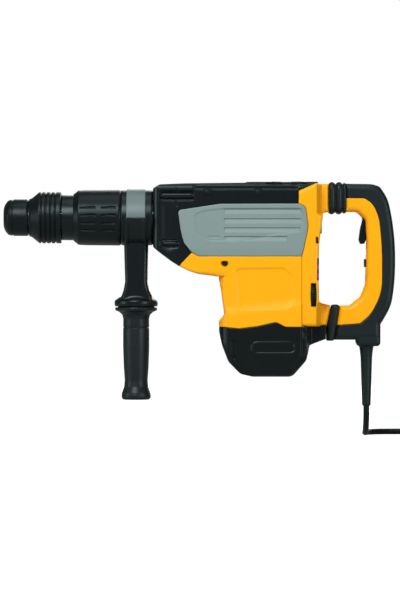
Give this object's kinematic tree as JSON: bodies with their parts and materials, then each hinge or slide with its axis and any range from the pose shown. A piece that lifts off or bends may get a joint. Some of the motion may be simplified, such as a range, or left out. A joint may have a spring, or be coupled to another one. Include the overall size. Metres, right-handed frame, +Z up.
{
  "type": "combination hammer",
  "caption": "Corded rotary and demolition hammer: quick-change tool holder, side handle, long gear case, upright motor, sprung D handle and a coiled cord.",
  "frame": {"origin": "middle of the rear grip, where a hand holds the tool", "axes": "the nose points to -X, +X is the rear, +Y is the tool's right side seen from behind, +Z is up"},
  "size_m": [0.756, 0.1515, 0.3816],
  "materials": {
    "steel": "ground and oiled",
    "dark_steel": "hardened and oiled",
    "band_steel": "satin plated",
    "screw_steel": "black oxide",
    "magnesium": "black powder coat",
    "black_plastic": "fine texture",
    "black_rubber": "soft matt",
    "yellow_plastic": "fine texture",
    "grey_plastic": "satin",
    "indicator": "smooth",
    "copper": "turned copper",
    "windings": "varnished",
    "laminations": "stacked sheet",
    "brass": "formed sheet",
    "carbon": "pressed carbon",
    "board": "potted",
    "cord_rubber": "matt sheath",
    "cast": "machined"
  },
  "bodies": {
    "rear_handle": {"handle_left": "yellow_plastic", "handle_right": "yellow_plastic", "handle_overmould": "black_rubber", "handle_screws": "screw_steel", "pivot_pin": "steel", "damper_springs": "dark_steel", "bellows": "black_rubber", "arm_boot": "black_rubber", "switch_module": "indicator", "strain_relief": "black_rubber", "cord_tube": "cord_rubber", "cord_coil": "cord_rubber", "plug_body": "black_rubber", "plug_blades": "brass"},
    "housing": {"barrel_housing": "magnesium", "barrel_cover": "black_plastic", "gear_case": "magnesium", "top_cover": "black_plastic", "side_panel_left": "grey_plastic", "side_panel_right": "grey_plastic", "motor_housing": "yellow_plastic", "rear_cover": "yellow_plastic", "end_cap": "black_plastic", "indicator_panel": "indicator", "barrel_screws": "screw_steel", "case_screws": "screw_steel", "spindle_bearings": "steel", "shaft_bearings": "steel", "field_stator": "laminations", "brush_holders": "brass", "carbon_brushes": "carbon", "electronics_module": "board"},
    "tool_spindle": {"spindle": "steel", "locking_rollers": "steel", "nose_cap": "black_rubber", "sleeve_spring": "dark_steel", "spindle_gear": "dark_steel"},
    "release_sleeve": {"locking_sleeve": "black_plastic", "locking_ring": "steel"},
    "beat_piece": {"beat_piece": "steel"},
    "ram": {"ram": "steel"},
    "piston": {"piston": "cast", "wrist_pin": "steel"},
    "connecting_rod": {"connecting_rod": "cast"},
    "crank": {"crank_gear": "dark_steel", "crank_shaft": "steel"},
    "rotary_drive": {"rotary_shaft": "steel", "rotary_gear": "dark_steel"},
    "armature": {"armature_shaft": "steel", "armature_core": "windings", "commutator": "copper", "cooling_fan": "black_plastic"},
    "mode_knob": {"mode_selector": "black_plastic"},
    "speed_wheel": {"speed_dial": "black_plastic"},
    "side_handle": {"clamp_band": "band_steel", "clamp_yoke": "black_plastic", "tension_rod": "steel"},
    "side_grip": {"side_grip": "black_rubber"},
    "trigger": {"trigger": "black_plastic"},
    "lock_button": {"lock_slider": "black_plastic"}
  },
  "joints": [
    {"name": "handle_damping", "type": "hinge", "parent": "rear_handle", "child": "housing", "pos_m": [-0.083, 0, -0.091], "axis": [0, 1, 0], "range_deg": [0, 1.5], "stiffness_Nm_per_rad": 900, "springref_deg": -1.15, "deforming": ["bellows", "damper_springs", "arm_boot"]},
    {"name": "spindle_spin", "type": "hinge", "parent": "housing", "child": "tool_spindle", "pos_m": [-0.4, 0, 0.056], "axis": [1, 0, 0], "continuous": true},
    {"name": "sleeve_pull", "type": "slide", "parent": "tool_spindle", "child": "release_sleeve", "axis": [1, 0, 0], "range_m": [0, 0.012], "stiffness_N_per_m": 1200, "springref_m": -0.012, "deforming": ["sleeve_spring"]},
    {"name": "beat_slide", "type": "slide", "parent": "tool_spindle", "child": "beat_piece", "axis": [1, 0, 0], "range_m": [-0.006, 0]},
    {"name": "ram_slide", "type": "slide", "parent": "tool_spindle", "child": "ram", "axis": [1, 0, 0], "range_m": [0, 0.035]},
    {"name": "piston_slide", "type": "slide", "parent": "housing", "child": "piston", "axis": [1, 0, 0], "range_m": [-0.03, 0]},
    {"name": "rod_swing", "type": "hinge", "parent": "piston", "child": "connecting_rod", "pos_m": [-0.27037, 0, 0.056], "axis": [0, 0, 1], "range_deg": [-11.5, 11.5]},
    {"name": "crank_spin", "type": "hinge", "parent": "housing", "child": "crank", "pos_m": [-0.21038, 0, 0.006], "axis": [0, 0, 1], "continuous": true},
    {"name": "rotary_spin", "type": "hinge", "parent": "housing", "child": "rotary_drive", "pos_m": [-0.25412, 0, 0.006], "axis": [0, 0, 1], "continuous": true},
    {"name": "armature_spin", "type": "hinge", "parent": "housing", "child": "armature", "pos_m": [-0.171, 0, -0.091], "axis": [0, 0, 1], "continuous": true},
    {"name": "mode_turn", "type": "hinge", "parent": "housing", "child": "mode_knob", "pos_m": [-0.141, 0, 0.108], "axis": [0, 0, 1], "range_deg": [-90, 90]},
    {"name": "speed_turn", "type": "hinge", "parent": "housing", "child": "speed_wheel", "pos_m": [-0.1002, -0.0345, -0.06], "axis": [1, 0, 0], "range_deg": [0, 270]},
    {"name": "side_handle_swing", "type": "hinge", "parent": "housing", "child": "side_handle", "pos_m": [-0.3647, 0, 0.056], "axis": [1, 0, 0], "continuous": true},
    {"name": "side_grip_twist", "type": "hinge", "parent": "side_handle", "child": "side_grip", "pos_m": [-0.3647, 0, -0.144], "axis": [0, 0, 1], "range_deg": [0, 360]},
    {"name": "trigger_pull", "type": "hinge", "parent": "rear_handle", "child": "trigger", "pos_m": [-0.0195, 0, 0.06], "axis": [0, 1, 0], "range_deg": [-9, 0], "stiffness_Nm_per_rad": 1.5, "springref_deg": 14.32},
    {"name": "lock_press", "type": "slide", "parent": "rear_handle", "child": "lock_button", "axis": [1, 0, 0], "range_m": [0, 0.003], "stiffness_N_per_m": 600, "springref_m": -0.003}
  ],
  "couplings": [
    {"joint": "rotary_spin", "follows": "spindle_spin", "ratio": -2.5833},
    {"joint": "crank_spin", "follows": "spindle_spin", "ratio": 9.4722},
    {"joint": "armature_spin", "follows": "spindle_spin", "ratio": -56.833}
  ]
}
